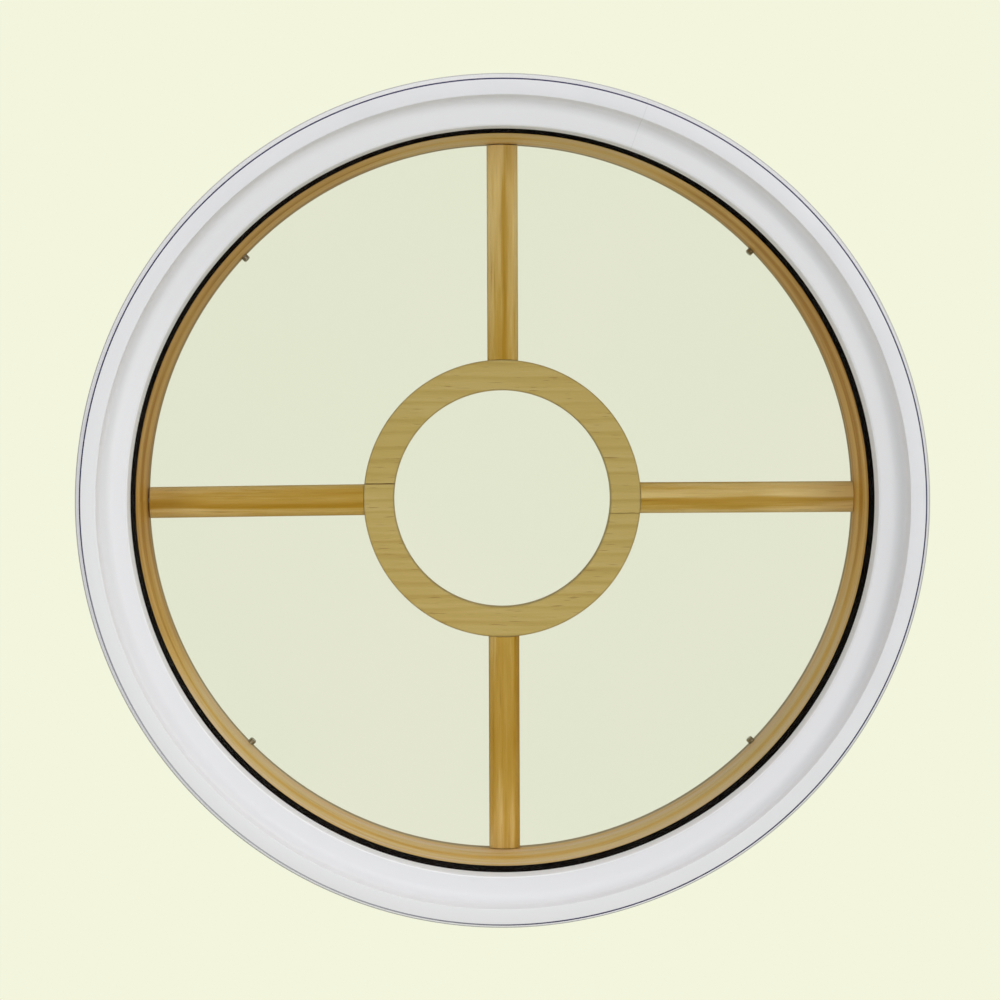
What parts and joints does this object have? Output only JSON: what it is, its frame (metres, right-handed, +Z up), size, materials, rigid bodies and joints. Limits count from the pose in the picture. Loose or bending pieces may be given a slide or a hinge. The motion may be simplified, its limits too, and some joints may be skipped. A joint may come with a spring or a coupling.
{
  "type": "round window",
  "caption": "Round fixed window with a white coved brickmould, a deep pine jamb, insulating glass and a pine grille of a central ring with crossed bars.",
  "frame": {"origin": "on the window's axis, in the wall plane behind the brickmould, which is also the outdoor end of the jamb", "axes": "+Y from outdoors to the room along the window's axis, +Z up as installed, +X to the right seen from outdoors"},
  "size_m": [0.6573, 0.146, 0.6574],
  "materials": {
    "white_moulding": "satin white PVC",
    "galvanised_nail": "galvanised",
    "jamb_pine": "bare sanded pine",
    "grille_pine": "bare sanded pine",
    "dowel_beech": "bare beech",
    "glazing_tape": "black foam tape",
    "window_glass": "clear float glass",
    "spacer_steel": "black coated steel",
    "desiccant": "dark desiccant matrix",
    "edge_sealant": "black butyl",
    "block_rubber": "black setting block",
    "pin_nylon": "natural nylon",
    "pin_steel": "zinc plated"
  },
  "bodies": {
    "root": {"brickmould": "white_moulding", "brickmould_nails": "galvanised_nail", "jamb": "jamb_pine", "outer_glazing_tape": "glazing_tape", "outer_pane": "window_glass", "spacer_channel": "spacer_steel", "desiccant_bead": "desiccant", "edge_sealant": "edge_sealant", "inner_pane": "window_glass", "inner_glazing_tape": "glazing_tape", "setting_blocks": "block_rubber", "grille_ring_upper": "grille_pine", "grille_ring_lower": "grille_pine", "grille_bar_right": "grille_pine", "grille_bar_top": "grille_pine", "grille_bar_left": "grille_pine", "grille_bar_bottom": "grille_pine", "grille_bar_dowels": "dowel_beech", "grille_ring_dowels": "dowel_beech", "grille_end_pins": "pin_nylon", "stop_pins": "pin_steel"}
  },
  "joints": []
}
